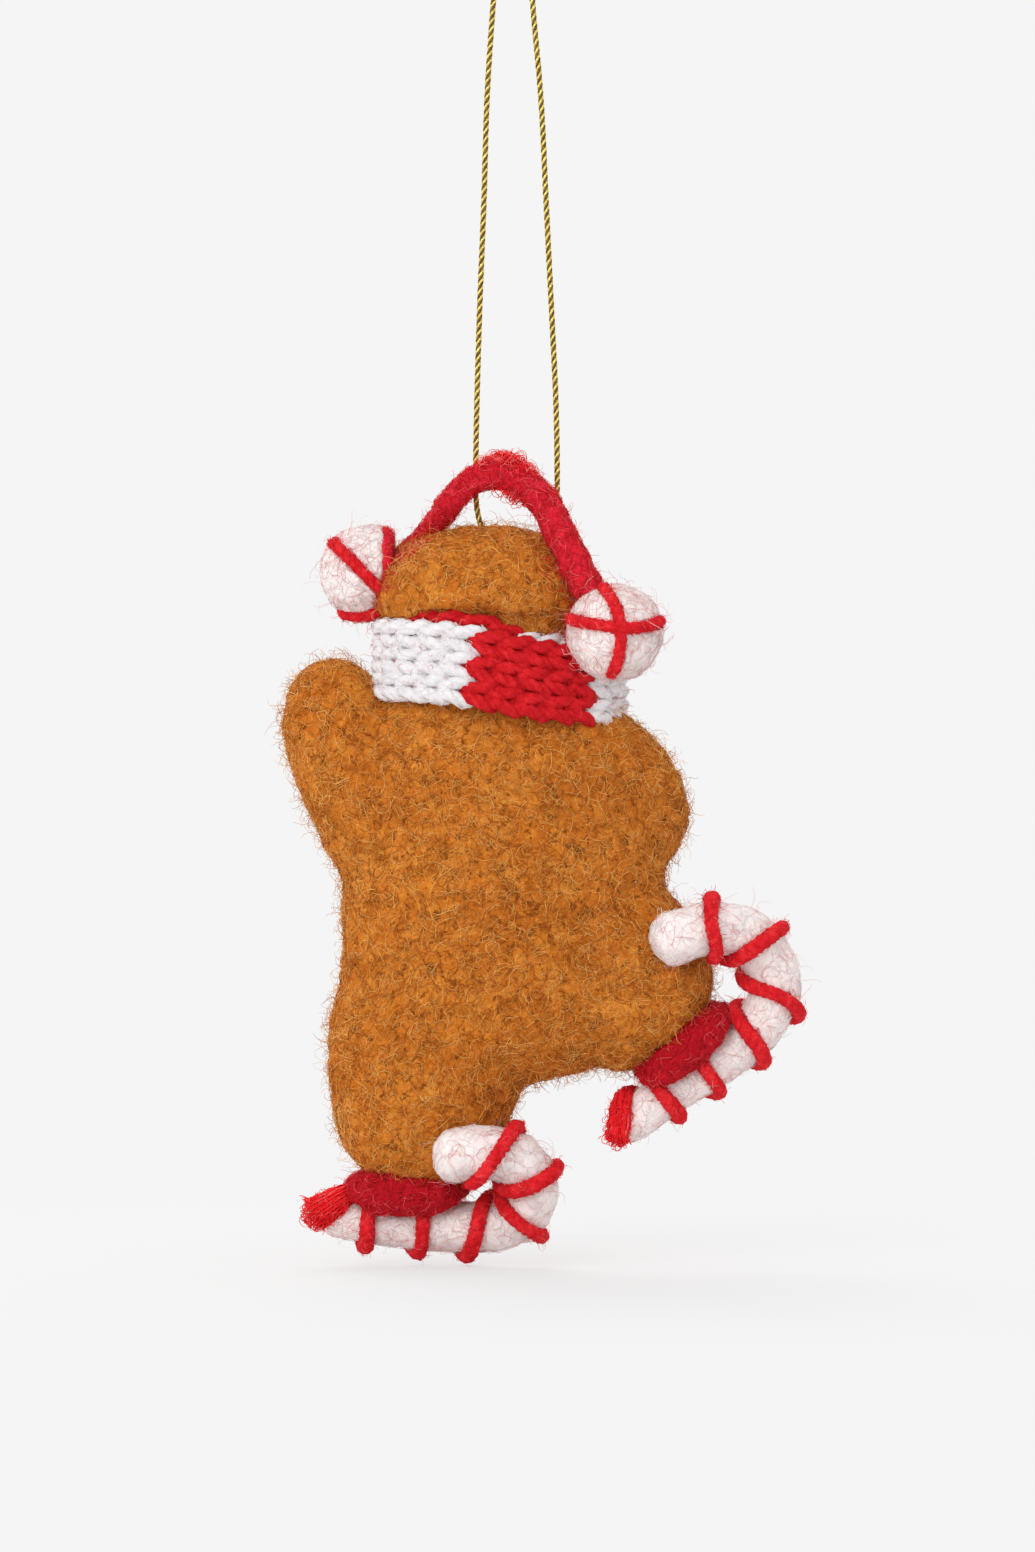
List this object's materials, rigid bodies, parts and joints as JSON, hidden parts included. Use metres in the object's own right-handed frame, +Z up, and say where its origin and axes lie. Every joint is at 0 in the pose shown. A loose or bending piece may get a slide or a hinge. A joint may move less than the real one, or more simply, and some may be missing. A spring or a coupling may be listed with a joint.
{
  "type": "gingerbread man ornament",
  "caption": "Plump felted gingerbread man on candy-cane ice skates, with peppermint earmuffs and a knitted scarf, hung by a cord loop.",
  "frame": {"origin": "under the top of the hanging cord's loop, where a hook carries it", "axes": "+Z up along the figure's height; the face looks along -Y and the back along +Y; +X is the figure's left"},
  "size_m": [0.0827, 0.036, 0.2076],
  "materials": {
    "brown_felt": "needle-felted wool, ginger brown, matt and fuzzy",
    "red_felt": "needle-felted wool and wool yarn, red, matt and fuzzy",
    "white_felt": "needle-felted wool, off-white with a pink bloom, matt and fuzzy",
    "boot_felt": "needle-felted wool, deep red, matt",
    "scarf_knit": "machine-knitted wool tube lying flat, blocks of red and white",
    "gold_cord": "twisted metallic cord, gold with dark brown flecks",
    "wire": "drawn wire",
    "bead": "glossy"
  },
  "bodies": {
    "hanger": {"hanging_cord": "gold_cord"},
    "figure": {"cord_knot": "gold_cord", "torso": "brown_felt", "head": "brown_felt", "arm_left": "brown_felt", "arm_right": "brown_felt", "leg_left": "brown_felt", "leg_right": "brown_felt", "scarf": "scarf_knit", "earmuff_band": "red_felt", "band_wire": "wire", "eye_left": "bead", "eye_right": "bead", "smile": "red_felt", "earmuff_pad_left": "white_felt", "pad_yarn_left": "red_felt", "earmuff_pad_right": "white_felt", "pad_yarn_right": "red_felt", "boot_left": "boot_felt", "runner_left": "white_felt", "runner_wire_left": "wire", "runner_yarn_left": "red_felt", "boot_right": "boot_felt", "runner_right": "white_felt", "runner_wire_right": "wire", "runner_yarn_right": "red_felt", "button_1": "red_felt", "button_2": "red_felt"}
  },
  "joints": [
    {"name": "swing", "type": "hinge", "parent": "hanger", "child": "figure", "pos_m": [-0.0008, 0, -0.08995], "axis": [0.9827, 0, 0.1853], "range_deg": [-80, 8]}
  ]
}
